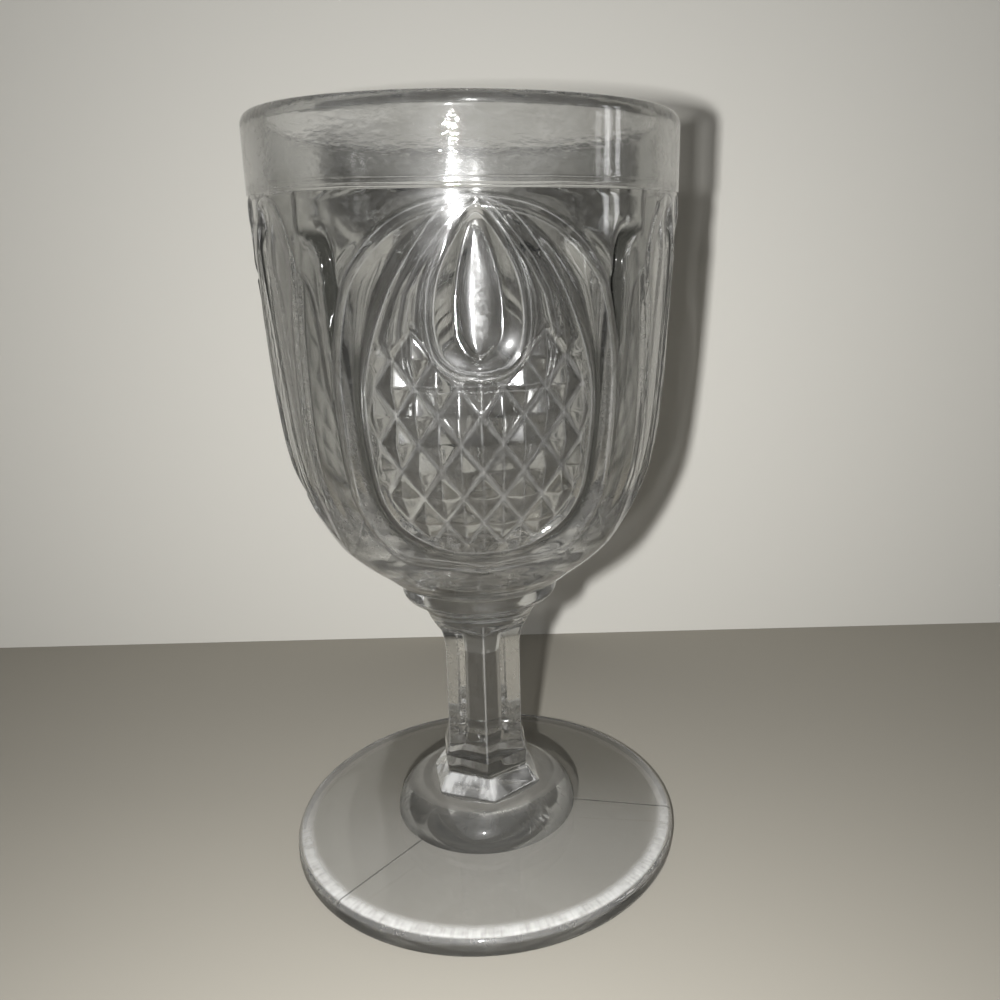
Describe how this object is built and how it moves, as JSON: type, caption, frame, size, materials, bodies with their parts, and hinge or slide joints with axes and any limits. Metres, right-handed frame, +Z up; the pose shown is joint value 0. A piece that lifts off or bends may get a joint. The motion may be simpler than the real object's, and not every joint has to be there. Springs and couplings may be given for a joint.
{
  "type": "water goblet",
  "caption": "Clear pressed-glass stemmed goblet for water, with a plain rim band, arched panels of diamond points under a teardrop, a hexagonal stem and a round foot",
  "frame": {"origin": "centre of the foot on the surface that the goblet stands on", "axes": "+Z runs up the stem to the rim; the middle of one panel faces -Y"},
  "size_m": [0.0872, 0.0872, 0.156],
  "materials": {
    "clear_glass": "clear, fire-polished"
  },
  "bodies": {
    "root": {"foot": "clear_glass", "foot_collar": "clear_glass", "stem": "clear_glass", "bowl_collar": "clear_glass", "bowl": "clear_glass", "rim_band": "clear_glass"}
  },
  "joints": []
}
